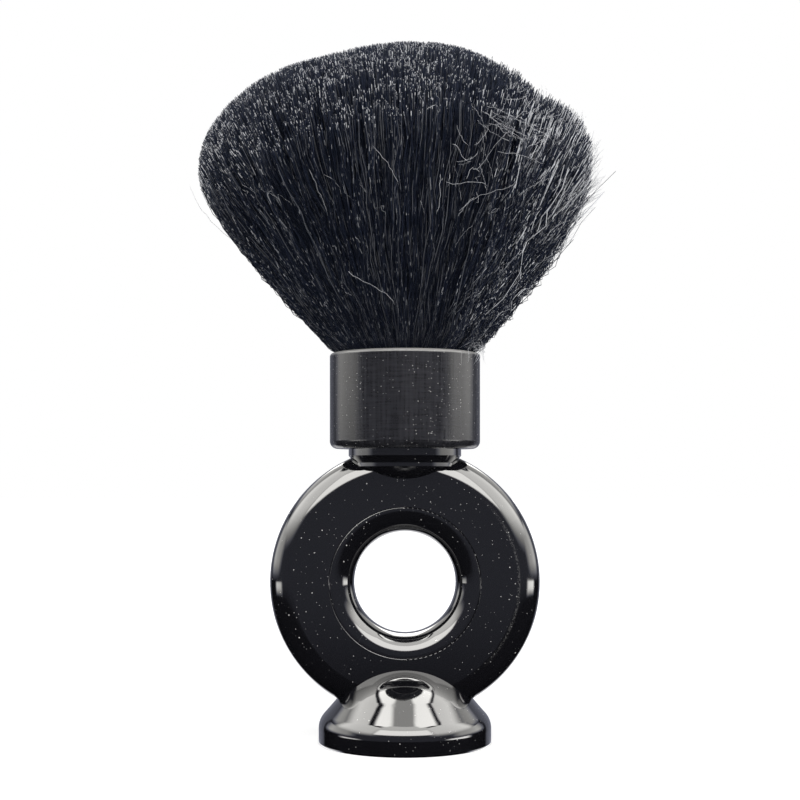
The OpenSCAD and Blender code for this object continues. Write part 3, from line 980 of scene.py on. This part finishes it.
def floor_material():
    """Pale floor that shows white and keeps the object's shadow."""
    material, tree = empty_material("pale_floor")
    matt = add_node(tree, "ShaderNodeBsdfDiffuse", {"Color": (0.8, 0.8, 0.8, 1)})
    away = vector_length(tree, object_coordinates(tree))
    level = map_range(tree, away, 0.12, 0.5, 0.55, 1.0, smooth=True)
    glow = add_node(tree, "ShaderNodeEmission",
                    {"Color": (1, 1, 1, 1),
                     "Strength": multiply(tree, shown_white(tree), level)})
    both = add_node(tree, "ShaderNodeAddShader", {0: matt.outputs[0], 1: glow.outputs[0]})
    add_node(tree, "ShaderNodeOutputMaterial", {"Surface": both.outputs[0]})
    return material


# The light tent seen in the gloss, panel by panel: azimuth from and to, elevation
# from and to (degrees; azimuth 0 is the front, right is positive), level, softness
# of the sides, softness of the lower edge. The brightest panel counts.
TENT_PANELS = (
    (-114, -40, 20, 58, 5.4, 22, 26),      # left side
    (36, 110, 18, 58, 5.7, 20, 26),        # right side
    (-44, 40, 21, 48, 8.8, 10, 6),         # window over the camera
    (-50, 46, 40, 68, 5.0, 10, 8),         # cloth above the window
    (-124, -36, 62, 95, 9.6, 24, 3),       # ceiling, left
    (28, 122, 61, 95, 9.6, 22, 3),         # ceiling, right
    (-60, 50, 64, 95, 1.6, 10, 6),         # vent in the ceiling
    (-190, 190, 64, 95, 2.5, 10, 6),       # back of the ceiling
    (-124, -74, 1, 20, 2.2, 24, 10),       # wall, left
    (70, 122, 1, 20, 2.5, 24, 10),         # wall, right
    (112, 165, 24, 66, 1.5, 14, 12),       # far corner, right
    (-165, -116, 26, 66, 1.7, 14, 12),     # far corner, left
    (-190, -136, -16, 28, 0.25, 10, 8),    # back wall, left half
    (136, 190, -16, 28, 0.25, 10, 8),      # back wall, right half
    (-190, -150, -46, -12, 1.2, 8, 8),     # pale table behind, left half
    (150, 190, -46, -12, 1.2, 8, 8),       # pale table behind, right half
    (-190, -150, 28, 66, 7.0, 14, 12),     # back of the room, high up, left half
    (150, 190, 28, 66, 7.0, 14, 12),       # and right half
    (-74, 68, -8, 30, 0.17, 12, 8),        # dim room round the camera
    (58, 92, -8, -3, 7.5, 16, 5),          # small lamp at the right
    (-92, -62, -8, -4, 5.0, 16, 5),        # small lamp at the left
)
HIGH_SOFTNESS = 2         # of every panel's upper edge


def panel_group():
    """How much of a soft-edged panel is seen in a direction."""
    name = "Tent panel"
    if name in bpy.data.node_groups:
        return bpy.data.node_groups[name]
    labels = ("Azimuth", "Elevation", "Left", "Right", "Low", "High", "Level",
              "Side softness", "Low softness", "High softness")
    group, get, give = new_group(name, dict.fromkeys(labels, 0.0), ["Light"],
                                 vector=False)
    total = get["Level"]
    for value, edge, sign, softness in (
            ("Azimuth", "Left", 1, "Side softness"),
            ("Azimuth", "Right", -1, "Side softness"),
            ("Elevation", "Low", 1, "Low softness"),
            ("Elevation", "High", -1, "High softness")):
        inside = math_node(group, "SUBTRACT", get[value], get[edge])
        share = math_node(group, "DIVIDE", multiply(group, inside, sign), get[softness])
        total = multiply(group, total, map_range(group, share, -0.5, 0.5, smooth=True))
    link(group, total, give["Light"])
    return group


def tent_material():
    """Light tent with bright panels and a dim gap round the camera."""
    material, tree = empty_material("light_tent")
    way = add_node(tree, "ShaderNodeVectorMath", {0: object_coordinates(tree)},
                   operation="NORMALIZE")
    part = split_vector(tree, way.outputs[0])
    azimuth = math_node(tree, "DEGREES", math_node(tree, "ARCTAN2", part["X"],
                                                   multiply(tree, part["Y"], -1.0)))
    elevation = math_node(tree, "DEGREES", math_node(tree, "ARCSINE", part["Z"]))
    lights = []
    for left, right, low, high, level, side_soft, low_soft in TENT_PANELS:
        panel = add_node(tree, "ShaderNodeGroup", {
            "Azimuth": azimuth, "Elevation": elevation, "Left": left, "Right": right,
            "Low": low, "High": high, "Level": level, "Side softness": side_soft,
            "Low softness": low_soft, "High softness": HIGH_SOFTNESS},
            node_tree=panel_group())
        lights.append(panel.outputs["Light"])
    total = largest(tree, *lights)
    warm = map_range(tree, total, 0.1, 1.5)
    colour = mix_colour(tree, warm, (0.84, 0.88, 1.1, 1), (1.0, 0.985, 0.95, 1))
    glow = add_node(tree, "ShaderNodeEmission", {"Color": colour, "Strength": total})
    add_node(tree, "ShaderNodeOutputMaterial", {"Surface": glow.outputs[0]})
    return material


def add_tent():
    """Round tent that is seen only in reflections."""
    bpy.ops.mesh.primitive_uv_sphere_add(segments=48, ring_count=24, radius=1.6,
                                         location=(0, 0, 0.05))
    tent = bpy.context.object
    tent.name = "light_tent"
    tent.data.materials.append(tent_material())
    for ray in ("camera", "diffuse", "shadow", "transmission", "volume_scatter"):
        setattr(tent, f"visible_{ray}", False)


def add_floor():
    """Wide floor that isn't seen in reflections."""
    bpy.ops.mesh.primitive_plane_add(size=8.0)
    floor = bpy.context.object
    floor.name = "floor"
    floor.data.materials.append(floor_material())
    floor.visible_glossy = False


def add_camera(scene):
    data = bpy.data.cameras.new("camera")
    data.lens = CAMERA_LENS
    data.sensor_width = 36.0
    data.shift_y = CAMERA_SHIFT
    data.clip_start, data.clip_end = 0.01, 20.0
    camera = bpy.data.objects.new("camera", data)
    camera.location = CAMERA_PLACE
    camera.rotation_euler = (math.pi / 2, 0, 0)
    scene.collection.objects.link(camera)
    scene.camera = camera


def set_world(scene):
    """Surroundings that show white and light the brush only softly."""
    world = bpy.data.worlds.new("studio")
    scene.world = world
    world.use_nodes = True
    tree = world.node_tree
    tree.nodes.clear()
    level = map_range(tree, shown_white(tree), 0, 1, 0.35, 1.0)
    glow = add_node(tree, "ShaderNodeBackground", {"Color": (1, 1, 1, 1),
                                                   "Strength": level})
    add_node(tree, "ShaderNodeOutputWorld", {"Surface": glow.outputs[0]})


class DUSTER_OT_stage(bpy.types.Operator):
    """Sets up the pale floor, the soft lights, the light tent and the camera"""

    bl_idname = "duster.stage"
    bl_label = "Set Stage"

    def execute(self, context):
        scene = context.scene
        scene.view_settings.view_transform = "Standard"
        add_camera(scene)
        add_floor()
        set_world(scene)
        for name, azimuth, elevation, radiance in SOFTBOXES:
            add_softbox(name, azimuth, elevation, radiance)
        add_tent()
        return {"FINISHED"}


# ------------------------------------------------------------------ panel

class DUSTER_PT_panel(bpy.types.Panel):
    """Sizes, colours and steps of the neck duster"""

    bl_idname = "DUSTER_PT_panel"
    bl_label = "Neck Duster"
    bl_space_type = "VIEW_3D"
    bl_region_type = "UI"
    bl_category = "Duster"

    def draw(self, context):
        for title, group in (("Sizes", context.scene.duster_sizes),
                             ("Colours", context.scene.duster_colours)):
            box = self.layout.box()
            box.label(text=title)
            for name in group.__annotations__:
                box.prop(group, name)
        for step in STEPS:
            self.layout.operator(step.bl_idname)


STEPS = (DUSTER_OT_handle, DUSTER_OT_collar, DUSTER_OT_inside, DUSTER_OT_mop,
         DUSTER_OT_stray_hairs, DUSTER_OT_stage)
CLASSES = (DusterSizes, DusterColours) + STEPS + (DUSTER_PT_panel,)


def register():
    for item in CLASSES:
        bpy.utils.register_class(item)
    bpy.types.Scene.duster_sizes = bpy.props.PointerProperty(type=DusterSizes)
    bpy.types.Scene.duster_colours = bpy.props.PointerProperty(type=DusterColours)


def unregister():
    del bpy.types.Scene.duster_sizes
    del bpy.types.Scene.duster_colours
    for item in reversed(CLASSES):
        bpy.utils.unregister_class(item)


def main():
    register()
    bpy.ops.object.select_all(action="DESELECT")
    bpy.ops.duster.handle()
    bpy.ops.duster.collar()
    bpy.ops.duster.inside()
    bpy.ops.duster.mop()
    bpy.ops.duster.stray_hairs()
    bpy.ops.duster.stage()


if __name__ == "__main__":
    main()
